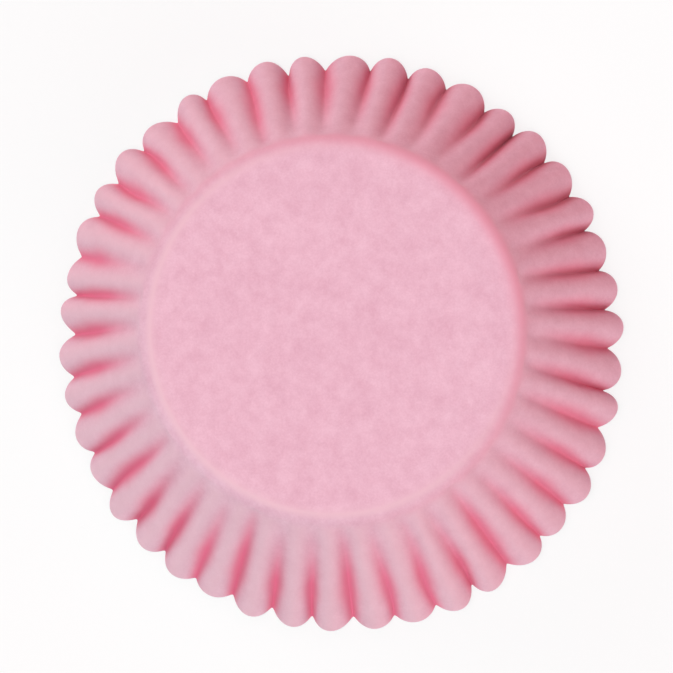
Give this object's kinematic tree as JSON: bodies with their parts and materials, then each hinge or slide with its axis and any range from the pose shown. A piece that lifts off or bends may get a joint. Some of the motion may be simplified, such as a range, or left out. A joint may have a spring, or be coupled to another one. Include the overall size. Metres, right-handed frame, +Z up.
{
  "type": "cupcake liner",
  "caption": "Fluted paper liner for baking a cupcake: a round flat base and a flared, pleated wall, lying base up on its rim.",
  "frame": {"origin": "centre of the bounding box at the height of the surface that the rim stands on", "axes": "+Z up through the middle of the upturned base, +Y along the slightly longer width of the rim"},
  "size_m": [0.0782, 0.0798, 0.0307],
  "materials": {
    "paper": "matte"
  },
  "bodies": {
    "root": {"liner": "paper"}
  },
  "joints": []
}
